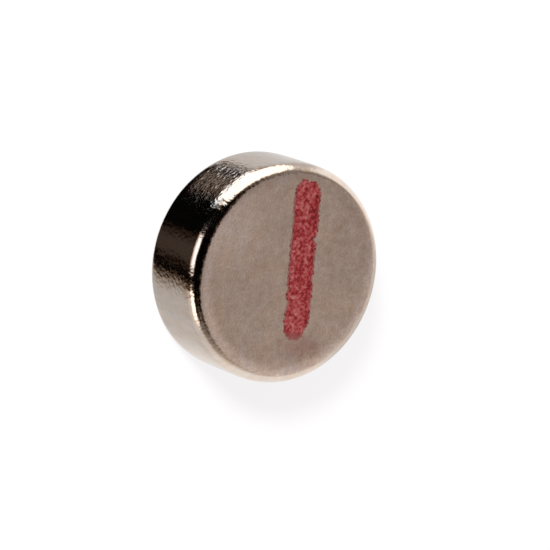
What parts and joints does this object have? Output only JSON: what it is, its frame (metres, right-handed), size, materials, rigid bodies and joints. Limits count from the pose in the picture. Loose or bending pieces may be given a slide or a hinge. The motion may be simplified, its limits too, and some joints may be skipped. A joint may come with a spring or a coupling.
{
  "type": "disc magnet",
  "caption": "Small nickel-plated disc magnet with rounded rims, and a red pen stroke that marks a pole face.",
  "frame": {"origin": "centre of the unmarked pole face, which the disc lies on", "axes": "+Z along the disc's axis, from the unmarked face to the marked one; the pen stroke runs along Y, a little to the +X side of the axis"},
  "size_m": [0.008, 0.008, 0.003],
  "materials": {
    "nickel": "satin nickel plate on the faces, bright on the rim",
    "ink": "dried marker ink, matt and grainy"
  },
  "bodies": {
    "root": {"magnet": "nickel", "pole_mark": "ink"}
  },
  "joints": []
}
